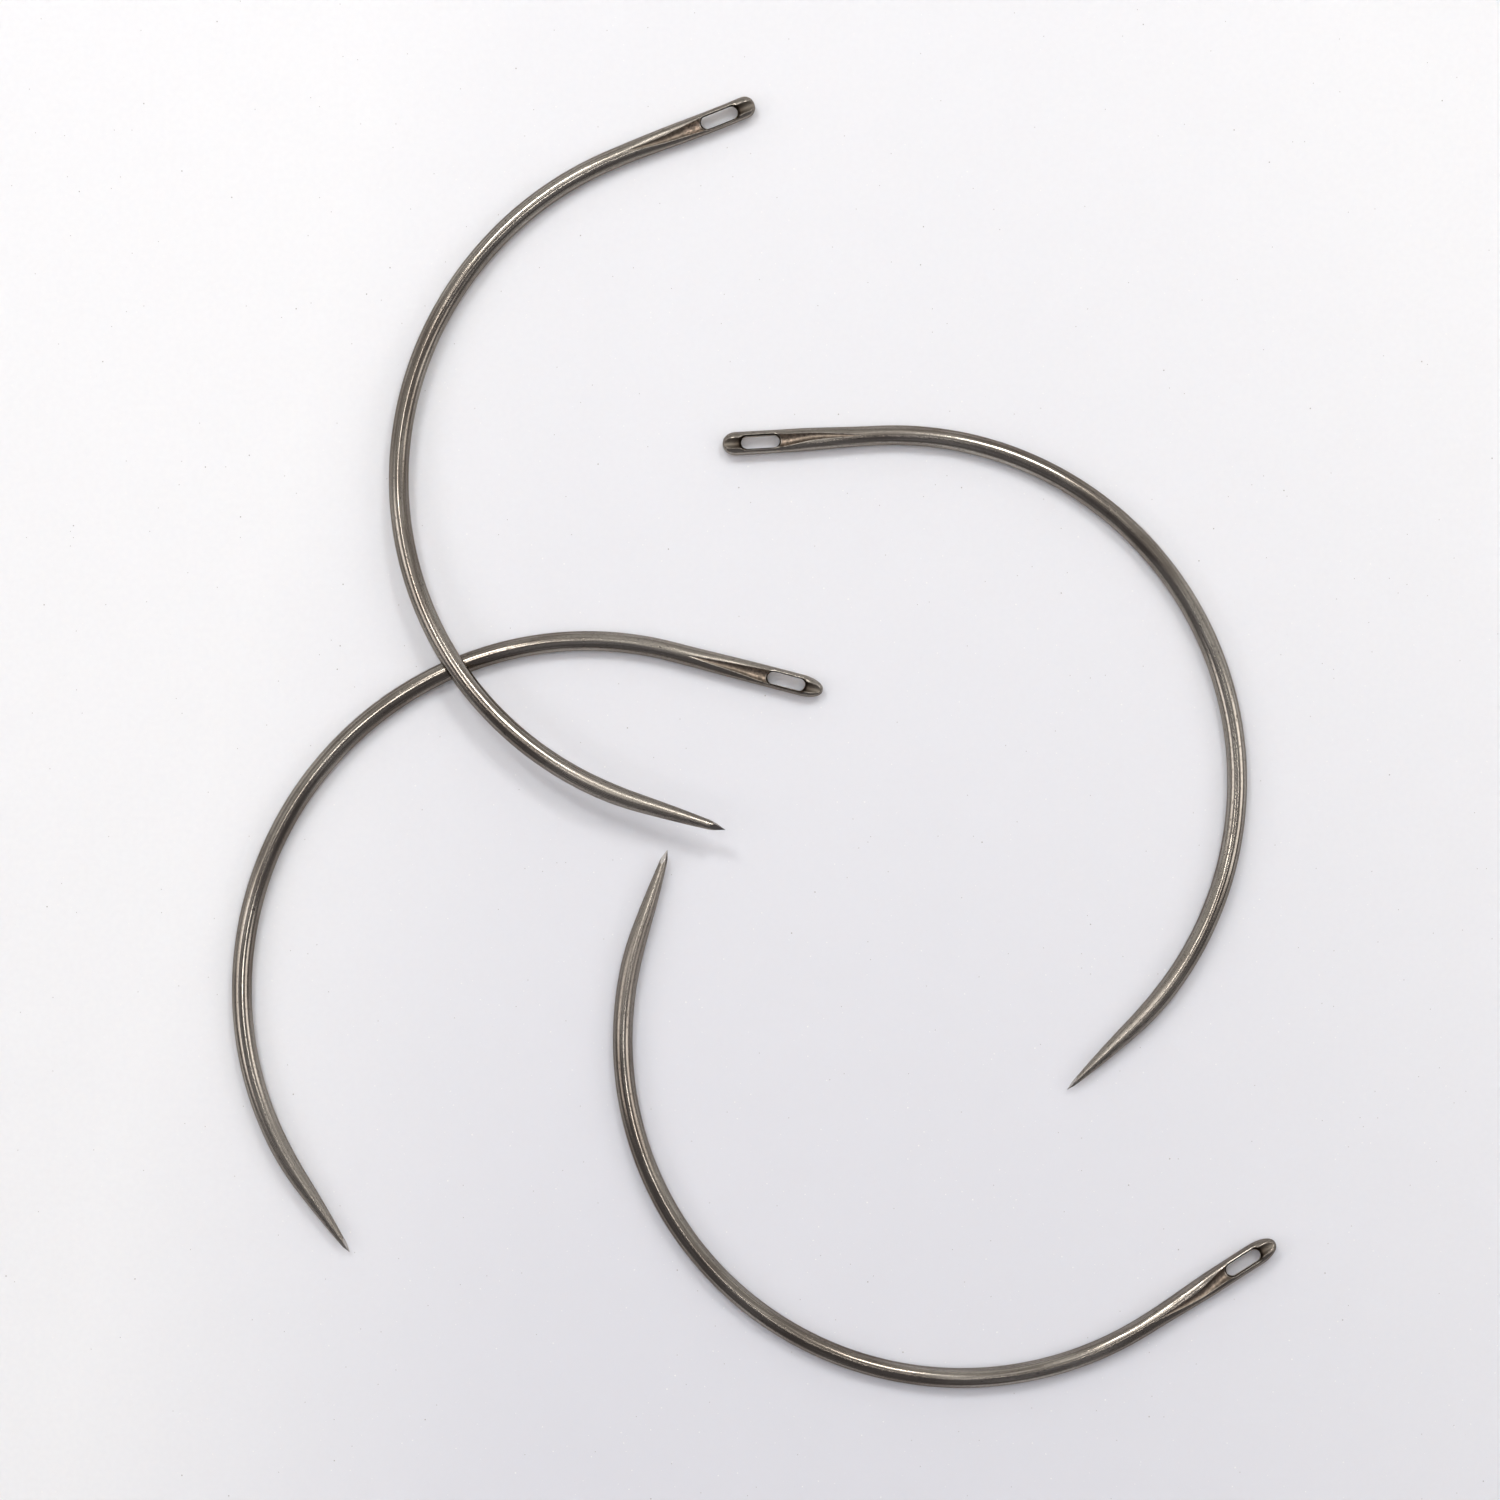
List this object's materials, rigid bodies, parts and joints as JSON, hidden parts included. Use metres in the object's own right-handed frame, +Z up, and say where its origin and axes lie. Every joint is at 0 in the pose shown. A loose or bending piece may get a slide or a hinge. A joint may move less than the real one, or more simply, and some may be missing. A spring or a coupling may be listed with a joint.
{
  "type": "curved upholstery needles",
  "caption": "Curved steel upholstery needles with ground points and long gutter eyes, lying loose on a table with one resting across another.",
  "frame": {"origin": "on the table, under the middle of the set's outer box", "axes": "+Z up from the table, +Y towards the head of the top needle, along the set's longer side, +X to the right seen from above with +Y away from the viewer"},
  "size_m": [0.0742, 0.0918, 0.0039],
  "materials": {
    "needle_steel": "bright drawn and polished carbon steel with a slightly warm grey tone, fine lines along the wire, browner milled gutters at the eye and a finely ground point"
  },
  "bodies": {
    "left": {"left_needle": "needle_steel"},
    "top": {"top_needle": "needle_steel"},
    "right": {"right_needle": "needle_steel"},
    "bottom": {"bottom_needle": "needle_steel"}
  },
  "joints": [
    {"name": "top_needle_lift", "type": "slide", "parent": "left", "child": "top", "axis": [0, 0, 1], "range_m": [0, 0.04]},
    {"name": "right_needle_lift", "type": "slide", "parent": "left", "child": "right", "axis": [0, 0, 1], "range_m": [0, 0.04]},
    {"name": "bottom_needle_lift", "type": "slide", "parent": "left", "child": "bottom", "axis": [0, 0, 1], "range_m": [0, 0.04]}
  ]
}
